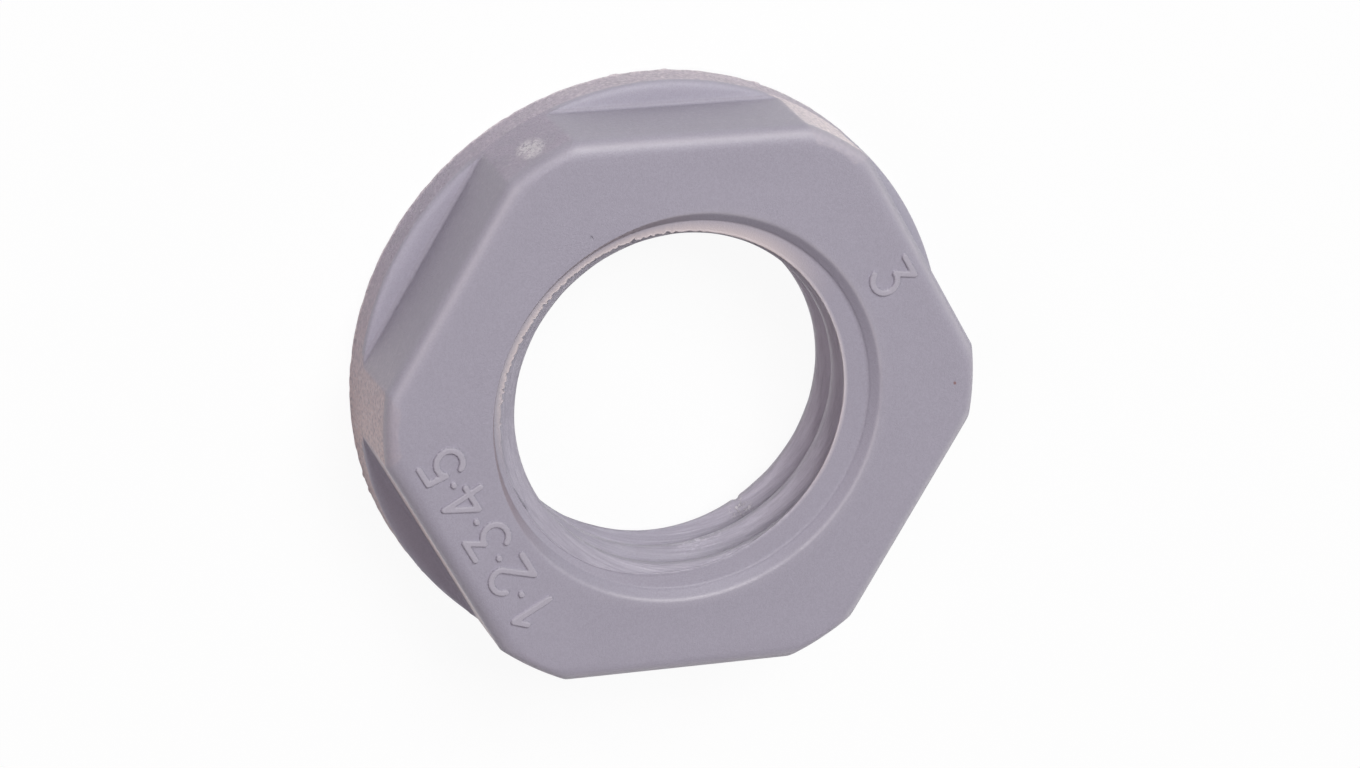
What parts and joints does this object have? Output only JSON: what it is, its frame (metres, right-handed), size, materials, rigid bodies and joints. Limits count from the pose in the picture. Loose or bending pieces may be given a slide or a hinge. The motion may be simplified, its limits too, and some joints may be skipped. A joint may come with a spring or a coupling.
{
  "type": "cable gland locknut",
  "caption": "Moulded plastic hexagon locknut with a round flange, a right-hand metric thread through the bore, a plain recess at the front and a lead-in chamfer at the seating face.",
  "frame": {"origin": "centre of the seating face of the flange", "axes": "+Z along the bore axis from the seating face to the front face, +X square to one spanner flat"},
  "size_m": [0.0197, 0.0196, 0.0047],
  "materials": {
    "grey_polyamide": "satin moulded front and bore, fine spark-eroded texture on the flats and a coarser one on the rim and corners"
  },
  "bodies": {
    "root": {"locknut": "grey_polyamide"}
  },
  "joints": []
}
